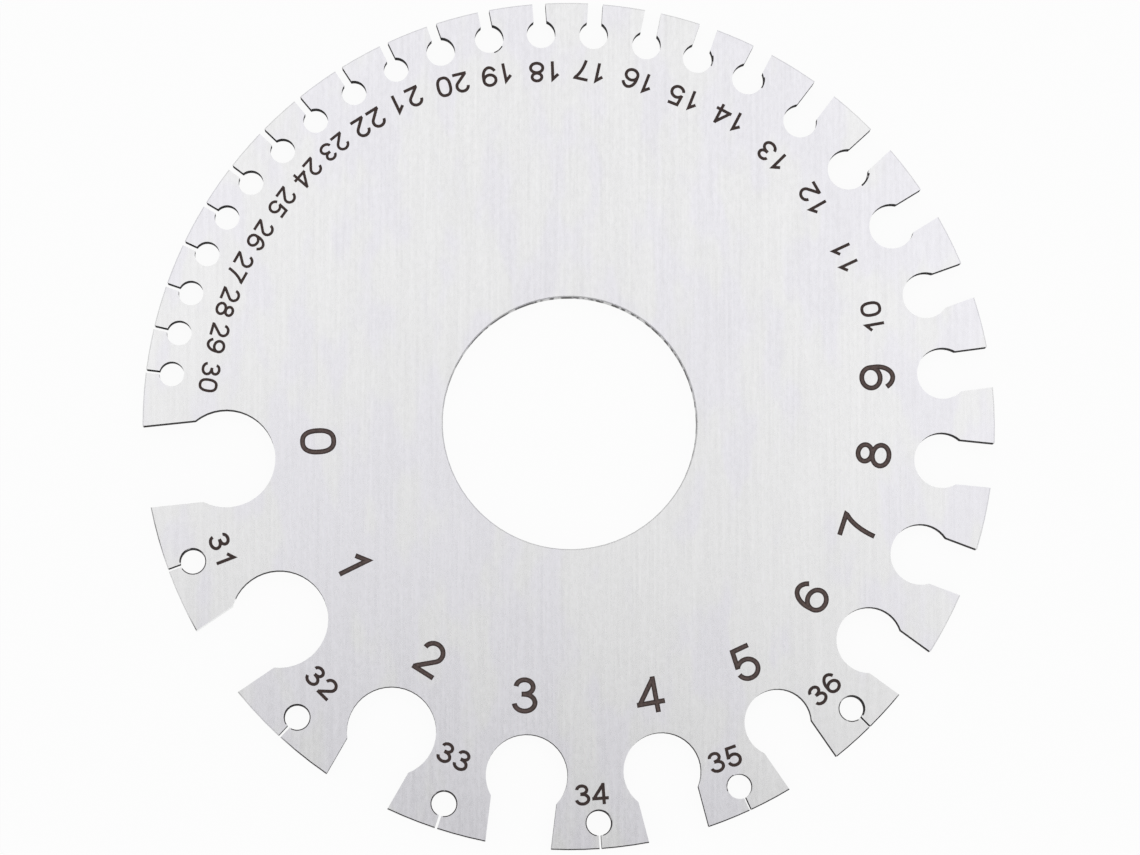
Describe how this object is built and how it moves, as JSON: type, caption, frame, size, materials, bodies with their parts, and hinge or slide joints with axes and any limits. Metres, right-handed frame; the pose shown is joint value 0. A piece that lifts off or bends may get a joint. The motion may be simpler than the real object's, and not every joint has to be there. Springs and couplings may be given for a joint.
{
  "type": "wire gauge",
  "caption": "Flat round steel gauge with numbered keyhole slots cut in from its rim, for finding the gauge number of wire and sheet, and a large plain centre hole.",
  "frame": {"origin": "centre of the disc, on its plain back face", "axes": "+Z out of the marked face, +X to the right and +Y up as the picture shows the disc, with slot 0 near -X"},
  "size_m": [0.0826, 0.0826, 0.0015],
  "materials": {
    "brushed_steel": "fine straight brushed grain on the faces, plain cut edges",
    "laser_mark": "dark brown laser marking, matt"
  },
  "bodies": {
    "root": {"gauge_disc": "brushed_steel"}
  },
  "joints": []
}
